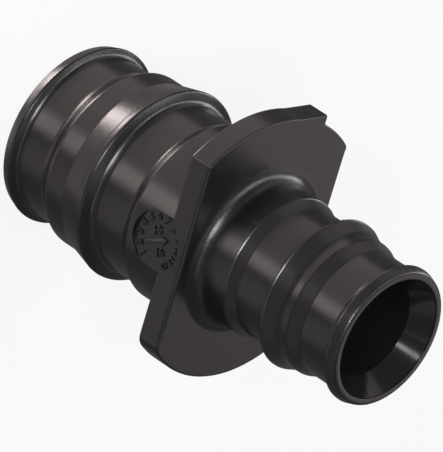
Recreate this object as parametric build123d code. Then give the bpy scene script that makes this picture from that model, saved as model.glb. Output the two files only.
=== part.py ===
from build123d import *
from itertools import accumulate
from math import sqrt
import os

# Reducing coupling for plastic pipe, moulded in one piece. Two ribbed inserts of different size meet
# at a flange with two flats. Lengths are in mm. Z is the common axis: the large insert's end ring
# stands on z = 0, the small insert points up, and the flats face +Y and -Y.

# Large insert, diameters and heights of its outside
large_waist_diameter = 22.9
large_lip_height = 0.6
large_bead_height = 1.05
large_band_height = 1.0
large_rib_height = 2.05
large_barrel_height = 0.35
collar_height = 1.03

# Large insert, lengths along the axis from its end ring up
large_bead_rise = 1.45
large_bead_drop = 0.65
large_waist_length = 4.97
large_band_step = 1.2
large_band_length = 3.3
large_rib_ramp = 4.1
large_rib_shoulder = 1.0
large_barrel_length = 5.4
collar_step = 1.3
collar_length = 6.55

# Small insert, diameters and heights of its outside
small_waist_diameter = 17.6
small_lip_height = 0.4
small_bead_height = 0.8
small_band_height = 0.73
small_rib_height = 1.63
small_barrel_height = 0.3
small_back_rib_height = 0.9
neck_height = 1.0

# Small insert, lengths along the axis from its end ring down
small_bead_rise = 1.5
small_bead_drop = 0.65
small_waist_length = 5.06
small_band_step = 0.6
small_band_length = 2.0
small_rib_ramp = 2.35
small_rib_shoulder = 0.75
small_barrel_length = 3.8
small_back_rib_ramp = 2.4
back_rib_drop = 0.25
neck_length = 3.2

# Flange between the inserts, with two flats and a lug on its rim
flange_diameter = 36.3
flange_thickness = 3.45
neck_fillet = 2.0
flat_above_collar = 0.18
lug_length = 7.0
lug_inset = 0.15
sharp_corner = 0.3
eased_corner = 1.0
round_corner = 2.2
rim_chamfer = 0.18

# Round date-dial recess, sunk into the flat and the collar on the -Y side
dial_diameter = 8.1
dial_depth = 0.7
dial_below_flange = 1.8

# Bore through the whole fitting
large_wall = 2.8
large_mouth_lip = 1.2
large_mouth_depth = 4.0
small_wall = 2.14
small_mouth_lip = 0.9
small_mouth_depth = 3.1
bore_cone_length = 4.5
cone_below_flange_front = 1.0

# Easing of the turned outline's corners
lip_chamfer = 0.15
bead_chamfer = 0.2
band_chamfer = 0.25
ramp_foot_round = 3.0

# How near two places are when they count as touching
touch = 0.01


def insert_corners(radii, lengths):
    """Corners of an insert's outside, lip to barrel, as (radius, distance from the end ring)."""
    lip, bead, waist, band, rib, barrel = radii
    bead_top, waist_start, waist_end, band_start, band_end, rib_crest, barrel_start = accumulate(lengths)
    return [
        (lip, 0),
        (bead, bead_top),
        (waist, waist_start),
        (waist, waist_end),
        (band, band_start),
        (band, band_end),
        (rib, rib_crest),
        (barrel, barrel_start),
    ]


# Radii that the bore and the flange take from the inserts
large_waist = large_waist_diameter / 2
small_waist = small_waist_diameter / 2
large_lip = large_waist + large_lip_height
small_lip = small_waist + small_lip_height
large_barrel = large_waist + large_barrel_height
small_barrel = small_waist + small_barrel_height
collar_radius = large_waist + collar_height
neck_radius = small_waist + neck_height
flange_radius = flange_diameter / 2
flat_distance = collar_radius + flat_above_collar
root_round = min(neck_fillet, flange_radius - neck_radius - rim_chamfer)

large_corners = insert_corners(
    (large_lip, large_waist + large_bead_height, large_waist,
     large_waist + large_band_height, large_waist + large_rib_height, large_barrel),
    (large_bead_rise, large_bead_drop, large_waist_length, large_band_step,
     large_band_length, large_rib_ramp, large_rib_shoulder),
)
small_corners = insert_corners(
    (small_lip, small_waist + small_bead_height, small_waist,
     small_waist + small_band_height, small_waist + small_rib_height, small_barrel),
    (small_bead_rise, small_bead_drop, small_waist_length, small_band_step,
     small_band_length, small_rib_ramp, small_rib_shoulder),
)

# Heights along the axis, added up from the end ring that the fitting stands on
large_barrel_end = large_corners[-1][1] + large_barrel_length
collar_start = large_barrel_end + collar_step
flange_back = collar_start + collar_length
flange_front = flange_back + flange_thickness
small_barrel_end = small_corners[-1][1] + small_barrel_length
back_rib_crest = small_barrel_end + small_back_rib_ramp
neck_start = back_rib_crest + back_rib_drop
total_length = flange_front + root_round + neck_length + neck_start


def small_end(corners):
    """Turn corners measured from the small end ring into corners on the fitting's axis."""
    return [(radius, total_length - distance) for radius, distance in corners]


def corner_of(outline, place):
    """The outline's corner nearest to a place given as (radius, height)."""
    radius, height = place
    return outline.vertices().sort_by_distance((radius, 0, height))[0]


def turned_body():
    """The fitting as it is before the flats: one outline, outside and bore, turned about Z."""
    outer_rim = flange_radius + lug_length
    middle = [
        (large_barrel, large_barrel_end),
        (collar_radius, collar_start),
        (collar_radius, flange_back),
        (outer_rim, flange_back),
        (outer_rim, flange_front),
        (neck_radius, flange_front),
    ]
    back_rib = small_end([
        (neck_radius, neck_start),
        (small_waist + small_back_rib_height, back_rib_crest),
        (small_barrel, small_barrel_end),
    ])
    cone_top = flange_front - cone_below_flange_front
    small_bore = small_waist - small_wall
    large_bore = large_waist - large_wall
    bore = [
        (small_lip - small_mouth_lip, total_length),
        (small_bore, total_length - small_mouth_depth),
        (small_bore, cone_top),
        (large_bore, cone_top - bore_cone_length),
        (large_bore, large_mouth_depth),
        (large_lip - large_mouth_lip, 0),
    ]
    small_outside = small_end(small_corners)
    corners = large_corners + middle + back_rib + small_outside[::-1] + bore
    outline = make_face(Polyline(*[(radius, 0, height) for radius, height in corners], close=True))
    for insert in (large_corners, small_outside):
        lip, bead, _, _, band, ramp_foot, _, _ = insert
        outline = chamfer(corner_of(outline, lip), lip_chamfer)
        outline = chamfer(corner_of(outline, bead), bead_chamfer)
        outline = chamfer(corner_of(outline, band), band_chamfer)
        outline = fillet(corner_of(outline, ramp_foot), ramp_foot_round)
    outline = fillet(corner_of(outline, (neck_radius, flange_front)), root_round)
    return revolve(outline, Axis.Z)


def flange_plan():
    """The flange seen along the axis: a disc with two flats, and a lug that runs on from its rim."""
    slab = Rectangle(4 * flange_radius, 2 * flat_distance)
    lug_reach = flange_radius - lug_inset
    lug = Pos(-lug_reach / 2, lug_length / 2) * Rectangle(lug_reach, lug_length)
    plan = (Circle(flange_radius) + lug) & slab
    half_flat = sqrt(flange_radius**2 - flat_distance**2)
    corner_rounds = [
        ((-half_flat, -flat_distance), sharp_corner),
        ((-half_flat, flat_distance), eased_corner),
        ((half_flat, -flat_distance), round_corner),
        ((half_flat, flat_distance), round_corner),
    ]
    for corner, radius in corner_rounds:
        vertex = plan.vertices().sort_by_distance(corner)[0]
        plan = fillet(vertex, radius)
    return plan


def edges_over(body, outline, low, high):
    """Edges of the body that lie over the flange's outline, between two heights."""
    def is_over(edge):
        middle = edge @ 0.5
        off_outline = outline.distance_to(Vertex(middle.X, middle.Y, 0))
        return off_outline < touch and low - touch < middle.Z < high + touch
    return body.edges().filter_by(is_over)


def coupling_body():
    """The turned body with its flange cut to plan, its front edge chamfered and its dial recess."""
    plan = flange_plan()
    outline = plan.wire()
    waste_side = 4 * (flange_radius + lug_length)
    waste = extrude(Rectangle(waste_side, waste_side) - plan, flange_thickness + root_round)
    body = turned_body() - Pos(0, 0, flange_back) * waste
    body = chamfer(edges_over(body, outline, flange_front, flange_front + root_round), rim_chamfer)
    floor_distance = flat_distance - dial_depth
    dial_plane = Plane((0, -floor_distance, flange_back - dial_below_flange), (1, 0, 0), (0, -1, 0))
    recess = extrude(dial_plane * Circle(dial_diameter / 2), flange_radius)
    return body - recess


os.makedirs("parts", exist_ok=True)
export_step(coupling_body(), "parts/coupling_body.step")
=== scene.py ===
from math import atan2, cos, hypot, pi, radians, sin, sqrt, tan

import bmesh
import bpy
from mathutils import Matrix, Vector


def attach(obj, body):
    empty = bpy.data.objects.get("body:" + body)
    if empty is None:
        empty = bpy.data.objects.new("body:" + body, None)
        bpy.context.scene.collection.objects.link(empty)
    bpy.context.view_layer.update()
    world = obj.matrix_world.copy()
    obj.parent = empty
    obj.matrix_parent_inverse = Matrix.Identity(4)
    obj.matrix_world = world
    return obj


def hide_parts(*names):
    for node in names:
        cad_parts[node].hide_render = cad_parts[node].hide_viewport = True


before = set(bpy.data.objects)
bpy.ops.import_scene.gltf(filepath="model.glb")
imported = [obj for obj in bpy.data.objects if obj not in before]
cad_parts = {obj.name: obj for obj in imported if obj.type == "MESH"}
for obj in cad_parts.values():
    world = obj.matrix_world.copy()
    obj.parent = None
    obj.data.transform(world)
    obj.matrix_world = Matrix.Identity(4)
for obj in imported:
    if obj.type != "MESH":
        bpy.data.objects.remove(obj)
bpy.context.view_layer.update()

# The fitting itself, one moulding in black plastic. Its outline is turned about Z: the large insert
# stands on z = 0, then come the collar, the flange, the neck and the small insert, and the bore
# runs down through it. Lengths are in millimetres, and each corner is (radius, height, rounding).
MM = 0.001

large_insert = [
    (12.05, 0.0, 0.15), (12.5, 1.35, 0.2), (12.42, 1.62, 0.2), (11.45, 2.12, 0.85),
    (11.45, 6.8, 1.6), (12.45, 8.45, 0.9), (12.45, 11.57, 0.8), (13.22, 14.6, 0.3),
    (13.25, 14.82, 0.1), (13.53, 15.75, 0.35), (11.8, 16.65, 1.25), (11.8, 22.07, 0.9),
    (12.48, 23.37, 0.5),
]
collar_radius, flange_back, flange_front = 12.48, 29.92, 33.37
flange_radius, rim_round = 18.15, 0.3
neck_radius, neck_end, root_round = 9.8, 38.57, 2.0
flange = [
    (collar_radius, flange_back, 0.0), (flange_radius, flange_back, rim_round),
    (flange_radius, flange_front, rim_round), (neck_radius, flange_front, root_round),
    (neck_radius, neck_end, 0.08), (9.67, 38.71, 0.1),
]
small_insert = [
    (9.1, 40.1, 0.4), (9.1, 45.02, 0.1), (10.47, 45.69, 0.12), (10.46, 45.94, 0.04),
    (10.37, 46.04, 0.05), (9.53, 48.12, 3.0), (9.53, 49.55, 1.0), (8.8, 51.25, 1.0),
    (8.8, 55.78, 0.4), (9.58, 56.4, 0.15), (9.6, 56.75, 0.2), (9.22, 57.93, 0.38),
]
bore = [
    (8.33, 57.93, 0.06), (8.33, 57.7, 0.05), (6.66, 54.83, 0.2), (6.66, 32.37, 0.3),
    (8.65, 27.87, 0.3), (8.65, 4.0, 0.2), (10.85, 0.0, 0.12),
]
outline = large_insert + flange + small_insert + bore

# A rounding wider than this is drawn with the larger number of steps.
wide_rounding, wide_steps, narrow_steps = 1, 12, 4


def rounded_outline(corners):
    """A flat face on the XZ plane with its corners rounded, each by its own radius."""
    mesh = bmesh.new()
    places = [Vector((radius, 0, height)) for radius, height, _ in corners]
    verts = [mesh.verts.new(place) for place in places]
    mesh.faces.new(verts)
    for index, (vert, (_, _, rounding)) in enumerate(zip(verts, corners)):
        if not rounding:
            continue
        before = places[index] - places[index - 1]
        after = places[(index + 1) % len(places)] - places[index]
        turn = before.angle(after)
        bmesh.ops.bevel(
            mesh, geom=[vert], affect="VERTICES", offset=rounding * tan(turn / 2),
            offset_type="OFFSET", profile=0.5, material=-1, clamp_overlap=False,
            segments=wide_steps if rounding > wide_rounding else narrow_steps,
        )
    return mesh


# The flange seen along the axis: a disc with two flats, and a lug whose face runs on from its rim.
# Its front edge is rounded further along the flats, and each corner has a rounding of its own.
flat_distance = 12.66
flat_ease = 1.6
lug_face, lug_length = 18.0, 7.0
flat_corners = {(-1, -1): 0.45, (-1, 1): 1.0, (1, -1): 2.2, (1, 1): 2.2}
hair = 1e-9


def corner_centre(side, rounding):
    """Where the rounding between the rim and a flat has its centre."""
    x = sqrt((flange_radius - rounding) ** 2 - (flat_distance - rounding) ** 2)
    return Vector((side[0] * x, side[1] * (flat_distance - rounding)))


def corner_angles(side, rounding):
    """The turns about Z at which that rounding meets the flat and the rim."""
    centre = corner_centre(side, rounding)
    on_flat = atan2(side[1] * flat_distance, centre.x) % (2 * pi)
    on_rim = atan2(centre.y, centre.x) % (2 * pi)
    return min(on_flat, on_rim), max(on_flat, on_rim)


def rim_distance(angle):
    """How far the flange reaches from the axis at a turn about Z."""
    along = Vector((cos(angle), sin(angle)))
    for side, rounding in flat_corners.items():
        first, last = corner_angles(side, rounding)
        if first - hair <= angle <= last + hair:
            centre = corner_centre(side, rounding)
            near = along.dot(centre)
            return near + sqrt(near**2 - centre.length_squared + rounding**2)
    reach = flange_radius
    if along.x < 0 and along.y >= 0:
        lug_reach = min(lug_face / -along.x, lug_length / max(along.y, hair))
        reach = max(reach, lug_reach)
    return min(reach, flat_distance / max(abs(along.y), hair))


# The turns at which the outline is repeated: evenly round, with closer ones at the flange's
# corners, at the lug's step and at the mould's parting line.
even_turn, even_count = 1.5, 240
clear_turn, close_turn = 0.004, 0.003
tight_rounding, tight_count, open_count = 0.5, 6, 9
parting_turn = radians(0.35)

turns = {radians(even_turn * step) for step in range(even_count)}
for side, rounding in flat_corners.items():
    first, last = corner_angles(side, rounding)
    turns = {turn for turn in turns if not first - clear_turn < turn < last + clear_turn}
    count = tight_count if rounding < tight_rounding else open_count
    turns |= {first + (last - first) * step / count for step in range(count + 1)}
lug_corner = atan2(lug_length, -lug_face)
lug_root = atan2(lug_length, -sqrt(flange_radius**2 - lug_length**2))
turns = {turn for turn in turns if not lug_root - clear_turn < turn < lug_corner + clear_turn}
turns |= {lug_root - close_turn, lug_root, (lug_root + lug_corner) / 2}
turns |= {lug_corner, lug_corner + close_turn}
turns |= {parting_turn, 2 * pi - parting_turn, pi - parting_turn, pi + parting_turn}
turns = sorted(turns)

weld = 1e-4
body = rounded_outline(outline)
bmesh.ops.delete(body, geom=body.faces[:], context="FACES_ONLY")
ring = body.verts[:] + body.edges[:]
for turn, next_turn in zip(turns, turns[1:] + [2 * pi]):
    spun = bmesh.ops.spin(
        body, geom=ring, cent=(0, 0, 0), axis=(0, 0, 1), angle=next_turn - turn, steps=1,
        use_merge=False, use_duplicate=False,
    )
    ring = spun["geom_last"]
bmesh.ops.remove_doubles(body, verts=body.verts[:], dist=weld)


def front_height(radius):
    """Height of the flange's front, which rises into the neck along the root rounding."""
    inside = neck_radius + root_round - radius
    if inside <= 0:
        return flange_front
    return flange_front + root_round - sqrt(max(root_round**2 - inside**2, 0.0))


# The disc is drawn in to the flats and out to the lug, and its front edge follows the root's
# rounding where a flat cuts into it.
nearby, touch = 0.01, 1e-3
flange_middle = (flange_back + flange_front) / 2
for vert in body.verts:
    radius = hypot(vert.co.x, vert.co.y)
    in_flange = flange_back - nearby < vert.co.z < flange_front + root_round
    in_collar = radius < collar_radius + nearby and vert.co.z < flange_front
    if in_collar or not in_flange or radius < neck_radius + touch:
        continue
    angle = atan2(vert.co.y, vert.co.x) % (2 * pi)
    rim = rim_distance(angle)
    on_front = vert.co.z > flange_middle
    on_flat = rim * abs(sin(angle)) > flat_distance - touch
    ease = flat_ease if on_flat and on_front else 1
    if radius > flange_radius - rim_round - weld:
        new_radius = rim - (flange_radius - radius) * ease
        new_height = vert.co.z
        if on_front:
            front = front_height(rim - rim_round * ease)
            new_height = front - (flange_front - vert.co.z) * ease
    elif radius > rim - rim_round * ease:
        new_radius = rim - rim_round * ease
        new_height = front_height(new_radius)
    else:
        continue
    vert.co = Vector((new_radius * cos(angle), new_radius * sin(angle), new_height))

# The parting line of the two mould halves shows as a nick on the beads and the rib crests, each
# given as (bottom, top, least radius). The flange lies outside the inserts' reach and has none.
parting_rise, inserts_reach = 0.06, 14
parted = [(0.0, 2.0, 12.2), (15.5, 16.2, 13.3), (45.6, 46.2, 10.3), (56.2, 57.9, 9.3)]
for vert in body.verts:
    radius = hypot(vert.co.x, vert.co.y)
    angle = atan2(vert.co.y, vert.co.x)
    if min(abs(angle), pi - abs(angle)) > weld or radius >= inserts_reach:
        continue
    if any(bottom < vert.co.z < top and least < radius for bottom, top, least in parted):
        vert.co.xy *= 1 + parting_rise / radius
bmesh.ops.remove_doubles(body, verts=body.verts[:], dist=weld)
bmesh.ops.recalc_face_normals(body, faces=body.faces[:])
bmesh.ops.scale(body, vec=(MM, MM, MM), verts=body.verts[:])
coupling_mesh = bpy.data.meshes.new("coupling")
body.to_mesh(coupling_mesh)
body.free()
coupling = bpy.data.objects.new("coupling", coupling_mesh)
bpy.context.scene.collection.objects.link(coupling)

# The round recess for the date dial, cut square into the near flat and the collar behind it.
dial_radius, dial_height, dial_floor = 4.05, 28.12, 11.96
cutter_depth, cutter_sides = 4, 96
cutter = bmesh.new()
bmesh.ops.create_cone(
    cutter, cap_ends=True, segments=cutter_sides, radius1=dial_radius, radius2=dial_radius,
    depth=cutter_depth,
)
bmesh.ops.rotate(
    cutter, cent=(0, 0, 0), matrix=Matrix.Rotation(pi / 2, 3, "X"), verts=cutter.verts[:],
)
bmesh.ops.translate(
    cutter, vec=(0, -dial_floor - cutter_depth / 2, dial_height), verts=cutter.verts[:],
)
bmesh.ops.scale(cutter, vec=(MM, MM, MM), verts=cutter.verts[:])
cutter_mesh = bpy.data.meshes.new("dial_cutter")
cutter.to_mesh(cutter_mesh)
cutter.free()
dial_cutter = bpy.data.objects.new("dial_cutter", cutter_mesh)
bpy.context.scene.collection.objects.link(dial_cutter)
cut = coupling.modifiers.new("dial recess", "BOOLEAN")
cut.operation, cut.solver, cut.object = "DIFFERENCE", "EXACT", dial_cutter
bpy.context.view_layer.update()
evaluated = coupling.evaluated_get(bpy.context.evaluated_depsgraph_get())
cut_mesh = bpy.data.meshes.new_from_object(evaluated)
coupling.modifiers.clear()
coupling.data = cut_mesh
bpy.data.objects.remove(dial_cutter)

# Edges sharper than this stay hard, and the rest are shaded smooth.
sharp_angle = radians(32)
finished = bmesh.new()
finished.from_mesh(cut_mesh)
for face in finished.faces:
    face.smooth = True
for edge in finished.edges:
    edge.smooth = len(edge.link_faces) == 2 and edge.calc_face_angle() < sharp_angle
finished.to_mesh(cut_mesh)
finished.free()
weighted = coupling.modifiers.new("even shading", "WEIGHTED_NORMAL")
weighted.mode, weighted.weight, weighted.keep_sharp = "FACE_AREA", 100, True
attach(coupling, "root")
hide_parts("coupling_body")


class Socket:
    """One value in a material's nodes. The operators add Math nodes, and add() any other node."""

    def __init__(self, tree, socket=None):
        self.tree, self.socket = tree, socket

    def add(self, kind, settings=(), values=(), output=0):
        node = self.tree.nodes.new(kind)
        for name, setting in dict(settings).items():
            setattr(node, name, setting)
        for name, value in dict(values).items():
            if isinstance(value, Socket):
                self.tree.links.new(value.socket, node.inputs[name])
            else:
                node.inputs[name].default_value = value
        return Socket(self.tree, node.outputs[output] if len(node.outputs) else None)

    def math(self, operation, *values):
        return self.add("ShaderNodeMath", {"operation": operation}, enumerate(values))

    def __add__(self, other):
        return self.math("ADD", self, other)

    def __radd__(self, other):
        return self.math("ADD", other, self)

    def __sub__(self, other):
        return self.math("SUBTRACT", self, other)

    def __rsub__(self, other):
        return self.math("SUBTRACT", other, self)

    def __mul__(self, other):
        return self.math("MULTIPLY", self, other)

    def __rmul__(self, other):
        return self.math("MULTIPLY", other, self)


# The plastic is black right through and satin as it leaves the steel mould, with a fine grain and
# a gloss that clouds a little from place to place. Sizes on the material are in metres.
plastic = bpy.data.materials.new("black_satin_plastic")
plastic.use_nodes = True
plastic.node_tree.nodes.clear()
nodes = Socket(plastic.node_tree)
place = nodes.add("ShaderNodeTexCoord", output="Object")
cloud = nodes.add("ShaderNodeTexNoise", values={
    "Vector": place, "Scale": 160, "Detail": 4, "Roughness": 0.6,
})
grain = nodes.add("ShaderNodeTexNoise", values={
    "Vector": place, "Scale": 4600, "Detail": 3, "Roughness": 0.65,
})
pits = nodes.add("ShaderNodeTexNoise", values={
    "Vector": place, "Scale": 3300, "Detail": 0.5, "Roughness": 0.5,
})
up_axis = nodes.add("ShaderNodeSeparateXYZ", values={"Vector": place}, output="Z")
flat_place = nodes.add(
    "ShaderNodeVectorMath", {"operation": "MULTIPLY"}, {0: place, 1: (1, 1, 0)},
)
off_axis = nodes.add(
    "ShaderNodeVectorMath", {"operation": "LENGTH"}, {0: flat_place}, output="Value",
)


def between(value, low_end, high_end, edge):
    """One inside a range of a value and nought outside it, with soft ends."""
    rise = nodes.add("ShaderNodeMapRange", values={
        "Value": value, "From Min": low_end - edge, "From Max": low_end,
    })
    fall = nodes.add("ShaderNodeMapRange", values={
        "Value": value, "From Min": high_end + edge, "From Max": high_end,
    })
    return rise * fall


# The flange's front and its root are coarser, with pits, and the polished core pin leaves the
# mouth's cone glossy. Each zone is (from, to, soft edge), along the axis and away from it.
coarse_heights, coarse_radii = (0.0333, 0.0376, 0.0006), (0.0099, 0.03, 0.0003)
mouth_heights, mouth_radii = (0.0548, 0.0578, 0.0002), (0.0, 0.0084, 0.0001)
coarse = between(up_axis, *coarse_heights) * between(off_axis, *coarse_radii)
polished = between(up_axis, *mouth_heights) * between(off_axis, *mouth_radii)
satin, cloud_share, polish_share = 0.21, 0.1, 0.5
rough = (satin + cloud * cloud_share) * (1 - polished * polish_share)
fine_grain, coarse_grain, polish_wipe, pit_share, grain_depth = 0.3, 0.5, 0.9, 0.6, 0.00003
bump = nodes.add("ShaderNodeBump", values={
    "Height": grain + pits * coarse * pit_share,
    "Strength": (fine_grain + coarse * coarse_grain) * (1 - polished * polish_wipe),
    "Distance": grain_depth,
})
shader = nodes.add("ShaderNodeBsdfPrincipled", values={
    "Base Color": (0.008, 0.0075, 0.0075, 1), "Roughness": rough, "Normal": bump,
})
nodes.add("ShaderNodeOutputMaterial", values={"Surface": shader})
coupling.data.materials.clear()
coupling.data.materials.append(plastic)

# The date dial: a round insert in the mould leaves a ring of numbers for the months, an arrow that
# points at one of them, and the year's two numbers beside it. They are of the fitting's own
# plastic, and stand a little proud of the recess floor with their edges rounded.
dial = bmesh.new()
mark_sink, mark_rise, mark_edge, mark_steps = 0.05, 0.28, 0.1, 3
mark_depth = mark_sink + mark_rise
stroke_slimming, curve_steps = -0.05, 3


def place_on_dial(mesh, across, along, facing):
    """Lay a mark drawn on the XY plane on the dial's floor, with its top pointing at an angle."""
    spot = Matrix.Translation((across, -dial_floor + mark_sink, dial_height + along))
    upright = Matrix.Rotation(pi / 2, 4, "X")
    turned = Matrix.Rotation(facing - pi / 2, 4, "Z")
    bmesh.ops.transform(
        mesh, matrix=spot @ upright @ turned, verts=mesh.verts[:], space=Matrix.Identity(4),
    )


def add_number(text, size, across, along, facing):
    """Raise one number on the dial, with its middle at a place and its top at an angle."""
    letters = bpy.data.curves.new("number_" + text, "FONT")
    letters.body, letters.size = text, size
    letters.align_x, letters.align_y = "CENTER", "CENTER"
    letters.extrude, letters.resolution_u = mark_depth / 2 - mark_edge, curve_steps
    letters.bevel_depth, letters.bevel_resolution = mark_edge, mark_steps
    letters.offset = stroke_slimming
    holder = bpy.data.objects.new("number", letters)
    bpy.context.scene.collection.objects.link(holder)
    bpy.context.view_layer.update()
    shape = bpy.data.meshes.new_from_object(holder)
    bpy.data.objects.remove(holder)
    mark = bmesh.new()
    mark.from_mesh(shape)
    bmesh.ops.remove_doubles(mark, verts=mark.verts[:], dist=weld)
    bmesh.ops.translate(mark, vec=(0, 0, mark_depth / 2), verts=mark.verts[:])
    place_on_dial(mark, across, along, facing)
    mark.to_mesh(shape)
    mark.free()
    dial.from_mesh(shape)
    bpy.data.meshes.remove(shape)


# Twelve months round the edge, with a gap where the ring starts. Those of two digits are smaller.
ring_radius, month_step, first_month = 3.15, 25.8, 324
one_digit_size, two_digit_size = 1.35, 1.1
for month in range(1, 13):
    month_angle = radians(first_month - month_step * (month - 1))
    add_number(
        str(month), one_digit_size if month < 10 else two_digit_size,
        ring_radius * cos(month_angle), ring_radius * sin(month_angle), month_angle,
    )

# The year beside the arrow, one number on each side.
arrow_angle = radians(117)
year_size, year_ahead = 1.5, 0.1
beside = Vector((sin(arrow_angle), -cos(arrow_angle)))
ahead = Vector((cos(arrow_angle), sin(arrow_angle)))
for text, side in (("10", -1.35), ("16", 1.45)):
    middle_of_number = beside * side + ahead * year_ahead
    add_number(
        text, year_size, middle_of_number.x, middle_of_number.y, arrow_angle + pi / 2,
    )

# The arrow: a slim shaft with a head, drawn flat, raised and rounded along its top.
arrow = bmesh.new()
half_shaft, half_head, tail, neck, tip = 0.22, 0.6, -1.9, 0.9, 1.8
arrow_corners = [
    (-half_shaft, tail), (half_shaft, tail), (half_shaft, neck), (half_head, neck), (0, tip),
    (-half_head, neck), (-half_shaft, neck),
]
arrow_face = arrow.faces.new([arrow.verts.new((x, y, 0)) for x, y in arrow_corners])
raised = bmesh.ops.extrude_face_region(arrow, geom=[arrow_face])["geom"]
raised_verts = [item for item in raised if isinstance(item, bmesh.types.BMVert)]
raised_edges = [item for item in raised if isinstance(item, bmesh.types.BMEdge)]
bmesh.ops.translate(arrow, vec=(0, 0, mark_depth), verts=raised_verts)
bmesh.ops.bevel(
    arrow, geom=raised_edges, affect="EDGES", offset=mark_edge, offset_type="OFFSET",
    segments=mark_steps, profile=0.5, material=-1,
)
bmesh.ops.recalc_face_normals(arrow, faces=arrow.faces[:])
place_on_dial(arrow, 0, 0, arrow_angle)
arrow_mesh = bpy.data.meshes.new("arrow")
arrow.to_mesh(arrow_mesh)
arrow.free()
dial.from_mesh(arrow_mesh)
bpy.data.meshes.remove(arrow_mesh)
bmesh.ops.scale(dial, vec=(MM, MM, MM), verts=dial.verts[:])
dial_mesh = bpy.data.meshes.new("date_dial")
dial.to_mesh(dial_mesh)
dial.free()
date_dial = bpy.data.objects.new("date_dial", dial_mesh)
bpy.context.scene.collection.objects.link(date_dial)
date_dial.data.materials.append(plastic)
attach(date_dial, "root")

# A lit table: a sheet of white glass on z = 0 that the lamps under it shine through. The fitting's
# gloss shows those lamps, so the sheet stays out of its reflections and lets all their light by.
sheet_half_side = 3
sheet_white, sheet_glow = (0.7, 0.7, 0.7, 1), 0.85
floor = bmesh.new()
bmesh.ops.create_grid(floor, x_segments=1, y_segments=1, size=sheet_half_side)
floor_mesh = bpy.data.meshes.new("floor")
floor.to_mesh(floor_mesh)
floor.free()
floor_sheet = bpy.data.objects.new("floor", floor_mesh)
floor_sheet.visible_glossy = floor_sheet.visible_shadow = False
bpy.context.scene.collection.objects.link(floor_sheet)
glass = bpy.data.materials.new("white_glass")
glass.use_nodes = True
glass.node_tree.nodes.clear()
nodes = Socket(glass.node_tree)
sheet = nodes.add("ShaderNodeBsdfPrincipled", values={
    "Base Color": sheet_white, "Roughness": 0.9,
})
glow = nodes.add("ShaderNodeEmission", values={"Color": (1, 1, 1, 1), "Strength": 1.0})
seen = nodes.add("ShaderNodeLightPath", output="Is Camera Ray")
mixed = nodes.add("ShaderNodeMixShader", values={0: seen * sheet_glow, 1: sheet, 2: glow})
nodes.add("ShaderNodeOutputMaterial", values={"Surface": mixed})
floor_sheet.data.materials.append(glass)

# The studio round the table: a faint even light from everywhere, and softboxes at one distance
# from the fitting's middle, above the table and under it.
world = bpy.data.worlds.new("studio")
bpy.context.scene.world = world
world.use_nodes = True
surroundings = world.node_tree.nodes["Background"]
surroundings.inputs["Color"].default_value = (1, 0.94, 0.94, 1)
surroundings.inputs["Strength"].default_value = 0.15

WARM, COOL = (1, 0.885, 0.865), (0.98, 0.98, 1)
middle, lamp_distance = Vector((0, 0, 0.03)), 0.45


def across_angle(angle):
    """The width at the lamps' distance that an angle in degrees takes in."""
    return 2 * lamp_distance * tan(radians(angle / 2))


def softbox(name, azimuth, elevation, width, height, radiance, colour):
    """An evenly bright flat lamp that faces the fitting, its place and size given as angles."""
    lamp = bpy.data.lights.new(name, "AREA")
    lamp.shape = "RECTANGLE"
    lamp.size, lamp.size_y = across_angle(width), across_angle(height)
    lamp.energy, lamp.color = radiance * pi * lamp.size * lamp.size_y, colour
    level, bearing = cos(radians(elevation)), radians(azimuth)
    outward = Vector((level * cos(bearing), level * sin(bearing), sin(radians(elevation))))
    holder = bpy.data.objects.new(name, lamp)
    holder.location = middle + outward * lamp_distance
    holder.rotation_mode = "QUATERNION"
    holder.rotation_quaternion = (-outward).to_track_quat("-Z", "Y")
    holder.visible_camera = False
    bpy.context.scene.collection.objects.link(holder)


softbox("overhead", 246, 45, 16, 10, 38, COOL)
softbox("overhead_middle", 217, 43, 16, 8, 1.8, COOL)

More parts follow.
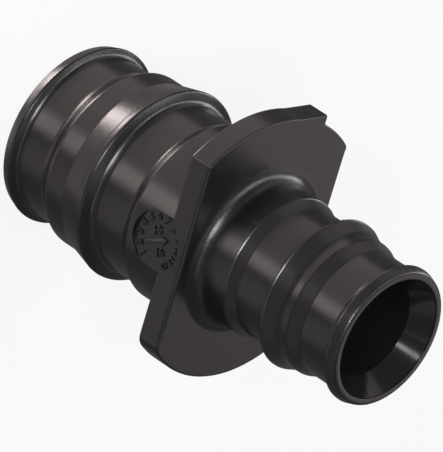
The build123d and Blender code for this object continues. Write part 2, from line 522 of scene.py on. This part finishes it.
# A row of small softboxes, each (azimuth, elevation, radiance), that climbs from the plain flat's
# side to the lug's side and makes the long bright streak along the neck's root.
strip_size = 10
slanted_strip = [
    (94, -10, 2.5), (107, -5, 4), (105, 7, 8), (116, 16, 8), (126, 28, 6.5), (135, 39, 7),
    (149, 48, 9), (167, 53, 9), (185, 58, 4),
]
for number, (azimuth, elevation, radiance) in enumerate(slanted_strip):
    softbox(
        f"slanted_strip_{number}", azimuth, elevation, strip_size, strip_size, radiance, COOL,
    )
softbox("front_strip", 244, 26, 8, 7, 20, COOL)
softbox("front_low", 250, 3, 14, 9, 0.7, WARM)
softbox("front_wide", 226, 6, 100, 16, 0.34, WARM)
softbox("left_middle", 148, 5, 60, 26, 0.6, WARM)
softbox("right_high", 295, 38, 40, 14, 1.2, COOL)
softbox("right_low", 312, 8, 66, 24, 0.22, WARM)
softbox("back_fill", 82, 36, 40, 30, 0.88, WARM)
softbox("top_fill", 240, 84, 40, 30, 0.9, COOL)

# The lamps under the glass.
softbox("table_spot", 187, -63, 14, 16, 17, WARM)
softbox("table_edge", 190, -77, 24, 12, 4.5, WARM)
softbox("table_strip", 252, -33, 18, 20, 3.5, WARM)
softbox("table_panel", 192, -38, 80, 40, 0.87, WARM)
softbox("table_left", 120, -60, 50, 30, 0.25, WARM)
softbox("table_side", 299, -36, 36, 32, 0.47, WARM)
softbox("table_low", 282, -66, 40, 24, 0.62, WARM)
softbox("table_foot", 40, -80, 40, 24, 0.6, WARM)

# The camera looks from the photograph's angle, rolled so that the axis runs down to the right.
right = Vector((-0.26271, 0.68104, 0.68350))
up = Vector((-0.88486, 0.11241, -0.45210))
back = Vector((-0.38473, -0.72357, 0.57309))
lens = bpy.data.cameras.new("camera")
lens.sensor_width, lens.sensor_fit, lens.lens = 36, "HORIZONTAL", 609.48
lens.clip_start, lens.clip_end = 0.05, 20
camera = bpy.data.objects.new("camera", lens)
camera.rotation_mode = "QUATERNION"
camera.rotation_quaternion = Matrix((right, up, back)).transposed().to_quaternion()
camera.location = (-0.36338, -0.68276, 0.56837)
bpy.context.scene.collection.objects.link(camera)
bpy.context.scene.camera = camera
bpy.context.scene.view_settings.view_transform = "Standard"
